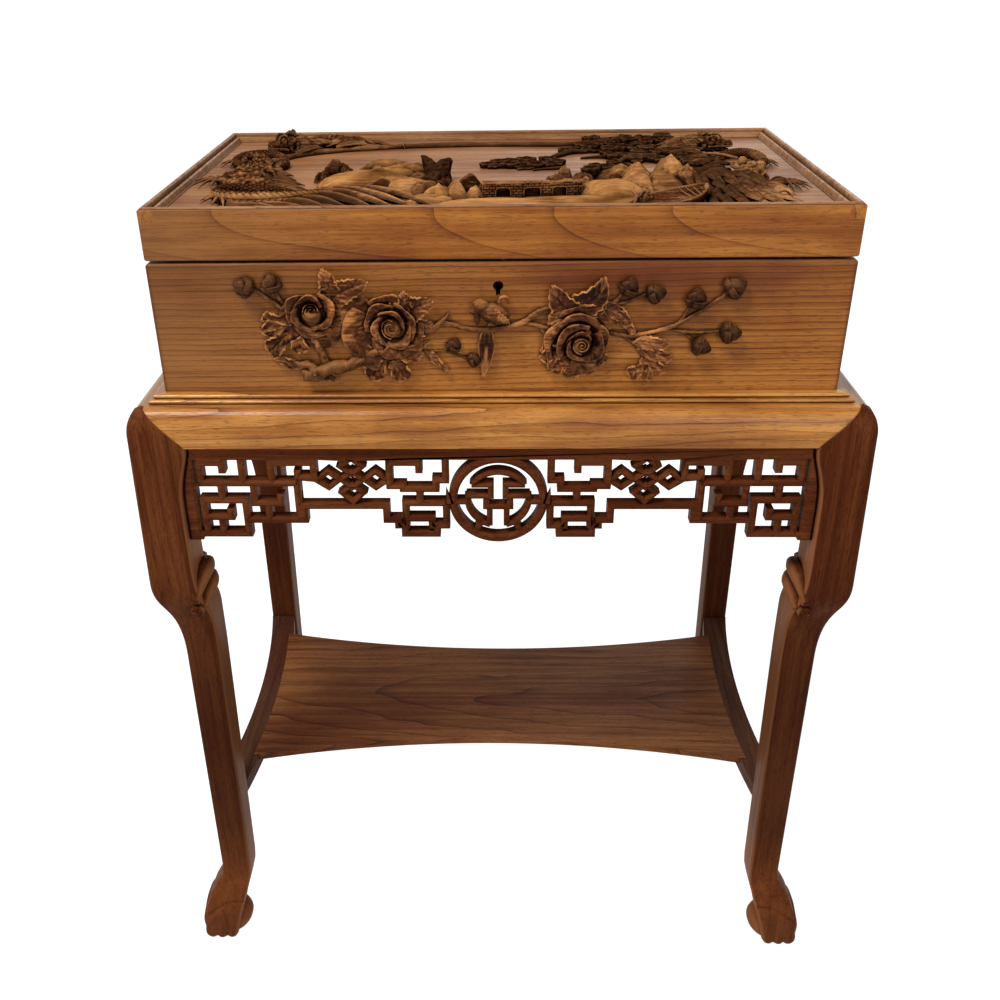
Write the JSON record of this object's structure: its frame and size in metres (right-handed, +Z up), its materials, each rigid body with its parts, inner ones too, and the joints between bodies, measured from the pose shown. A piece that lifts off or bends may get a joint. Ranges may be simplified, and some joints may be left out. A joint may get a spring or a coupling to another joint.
{
  "type": "carved chest",
  "caption": "Carved wooden chest with a hinged relief lid and a lock, on a stand with cabriole legs, paw feet, pierced fretwork aprons and a low shelf.",
  "frame": {"origin": "on the floor under the middle of the stand", "axes": "+Z up, the carved front faces -Y, +X to the viewer's right"},
  "size_m": [0.6794, 0.4294, 0.858],
  "materials": {
    "honey_wood": "waxed, golden honey brown with dark straight grain",
    "dark_wood": "waxed, reddish brown",
    "carved_wood": "hand carved, dark in the hollows and worn lighter on top",
    "brass": "dull"
  },
  "bodies": {
    "stand": {"leg_front_left": "dark_wood", "leg_front_right": "dark_wood", "leg_back_left": "dark_wood", "leg_back_right": "dark_wood", "rail_front": "honey_wood", "rail_back": "honey_wood", "rail_left": "honey_wood", "rail_right": "honey_wood", "seat_moulding_front": "honey_wood", "seat_moulding_back": "honey_wood", "seat_moulding_left": "honey_wood", "seat_moulding_right": "honey_wood", "fret_front": "dark_wood", "fret_back_side": "dark_wood", "fret_left": "dark_wood", "fret_right": "dark_wood", "stretcher_left": "dark_wood", "stretcher_right": "dark_wood", "shelf": "dark_wood", "chest_front": "honey_wood", "chest_back": "honey_wood", "chest_left": "honey_wood", "chest_right": "honey_wood", "chest_bottom": "honey_wood", "carving_roses_left": "carved_wood", "carving_bird": "carved_wood", "carving_rose_right": "carved_wood", "carving_buds_right": "carved_wood", "hinge_chest_left": "brass", "hinge_chest_right": "brass", "hinge_pins": "brass", "lock_case": "brass", "stand_screws": "brass", "hinge_chest_screws": "brass", "lock_screws": "brass"},
    "lid": {"lid_front": "honey_wood", "lid_back": "honey_wood", "lid_left": "honey_wood", "lid_right": "honey_wood", "lid_panel": "honey_wood", "lid_moulding_front": "honey_wood", "lid_moulding_back": "honey_wood", "lid_moulding_left": "honey_wood", "lid_moulding_right": "honey_wood", "lid_cord": "carved_wood", "dragon_left": "carved_wood", "dragon_right": "carved_wood", "mountains": "carved_wood", "bridge": "carved_wood", "pines": "carved_wood", "boat": "carved_wood", "hinge_lid_left": "brass", "hinge_lid_right": "brass", "lock_strike": "brass", "hinge_lid_screws": "brass", "strike_screws": "brass"},
    "lock_bolt": {"lock_bolt": "brass"}
  },
  "joints": [
    {"name": "lid_hinge", "type": "hinge", "parent": "stand", "child": "lid", "pos_m": [0, 0.1785, 0.8], "axis": [-1, 0, 0], "range_deg": [0, 95]},
    {"name": "bolt_slide", "type": "slide", "parent": "stand", "child": "lock_bolt", "axis": [1, 0, 0], "range_m": [0, 0.006]}
  ]
}
